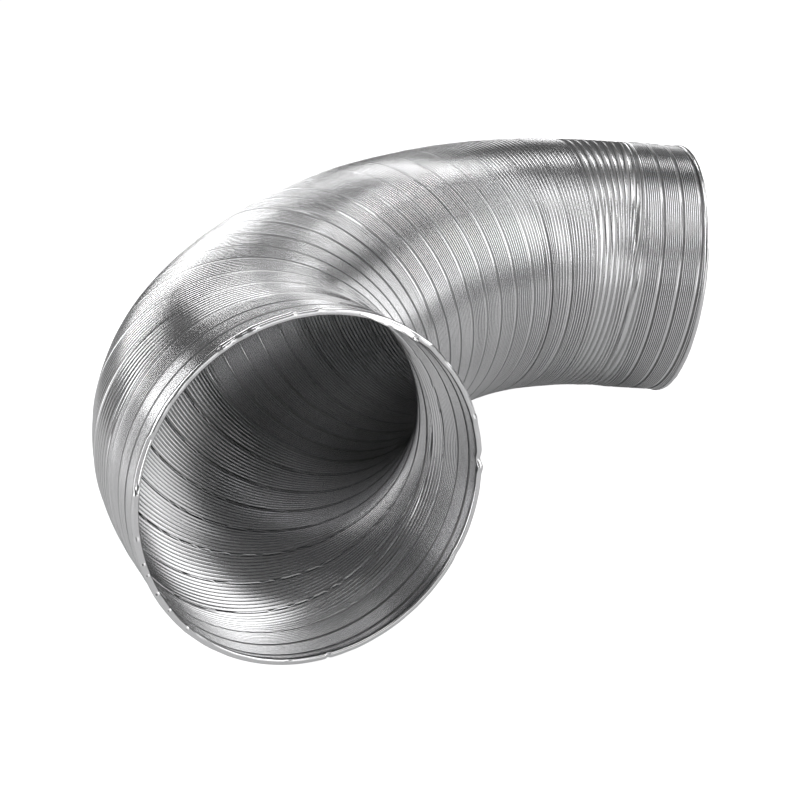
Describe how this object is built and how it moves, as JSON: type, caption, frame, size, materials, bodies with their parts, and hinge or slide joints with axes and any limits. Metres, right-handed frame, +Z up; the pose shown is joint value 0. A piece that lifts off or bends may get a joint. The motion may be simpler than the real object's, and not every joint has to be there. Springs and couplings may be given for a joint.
{
  "type": "flexible air duct",
  "caption": "Round semi-rigid air duct wound from corrugated aluminium strip, bent through an elbow, open at both ends to slide over spigots; it bends and stretches.",
  "frame": {"origin": "centre of the front mouth, on the axis of the front end", "axes": "+Z up; the front end leaves the mouth along +Y, sloping down 4.9 degrees, and the duct bends towards +X; -Y is the side that the front mouth opens to"},
  "size_m": [0.3572, 0.2569, 0.1406],
  "materials": {
    "strip": "bare rolled aluminium strip, satin, fine grain along the strip"
  },
  "bodies": {
    "front_end": {"front_cuff": "strip", "pleats_1": "strip"},
    "hoop_1": {"seam_hoop_1": "strip", "pleats_2": "strip"},
    "hoop_2": {"seam_hoop_2": "strip", "pleats_3": "strip"},
    "hoop_3": {"seam_hoop_3": "strip", "pleats_4": "strip"},
    "hoop_4": {"seam_hoop_4": "strip", "pleats_5": "strip"},
    "hoop_5": {"seam_hoop_5": "strip", "pleats_6": "strip"},
    "hoop_6": {"seam_hoop_6": "strip", "pleats_7": "strip"},
    "hoop_7": {"seam_hoop_7": "strip", "pleats_8": "strip"},
    "hoop_8": {"seam_hoop_8": "strip", "pleats_9": "strip"},
    "hoop_9": {"seam_hoop_9": "strip", "pleats_10": "strip"},
    "rear_end": {"rear_cuff": "strip"}
  },
  "joints": [
    {"name": "turn_1", "type": "hinge", "parent": "front_end", "child": "hoop_1", "pos_m": [0.00016, 0.03713, -0.00314], "axis": [0, 0, 1], "range_deg": [-5, 16], "deforming": ["pleats_1"]},
    {"name": "turn_2", "type": "hinge", "parent": "hoop_1", "child": "hoop_2", "pos_m": [0.00673, 0.07366, -0.0045], "axis": [0, 0, 1], "range_deg": [-5, 34], "deforming": ["pleats_2"]},
    {"name": "lift_3", "type": "hinge", "parent": "hoop_2", "child": "hoop_3", "pos_m": [0.02531, 0.10962, -0.00279], "axis": [0.798, -0.6027, 0], "range_deg": [-12, 12], "deforming": ["pleats_3"]},
    {"name": "turn_4", "type": "hinge", "parent": "hoop_3", "child": "hoop_4", "pos_m": [0.05008, 0.13485, 0.0009], "axis": [0, 0, 1], "range_deg": [-5, 21], "deforming": ["pleats_4"]},
    {"name": "stretch_5", "type": "slide", "parent": "hoop_4", "child": "hoop_5", "axis": [0.8461, 0.5258, 0.0869], "range_m": [-0.003, 0.025], "deforming": ["pleats_5"]},
    {"name": "turn_6", "type": "hinge", "parent": "hoop_5", "child": "hoop_6", "pos_m": [0.09314, 0.16215, 0.00537], "axis": [0, 0, 1], "range_deg": [-5, 15], "deforming": ["pleats_6"]},
    {"name": "lift_7", "type": "hinge", "parent": "hoop_6", "child": "hoop_7", "pos_m": [0.1168, 0.17308, 0.00587], "axis": [0.3699, -0.9291, 0], "range_deg": [-9, 9], "deforming": ["pleats_7"]},
    {"name": "turn_8", "type": "hinge", "parent": "hoop_7", "child": "hoop_8", "pos_m": [0.14287, 0.18151, 0.0058], "axis": [0, 0, 1], "range_deg": [-5, 18], "deforming": ["pleats_8"]},
    {"name": "stretch_9", "type": "slide", "parent": "hoop_8", "child": "hoop_9", "axis": [0.9961, -0.067, -0.0575], "range_m": [-0.022, 0.02], "deforming": ["pleats_9"]},
    {"name": "turn_10", "type": "hinge", "parent": "hoop_9", "child": "rear_end", "pos_m": [0.24018, 0.17524, 0.00014], "axis": [0, 0, 1], "range_deg": [-5, 10], "deforming": ["pleats_10"]}
  ]
}
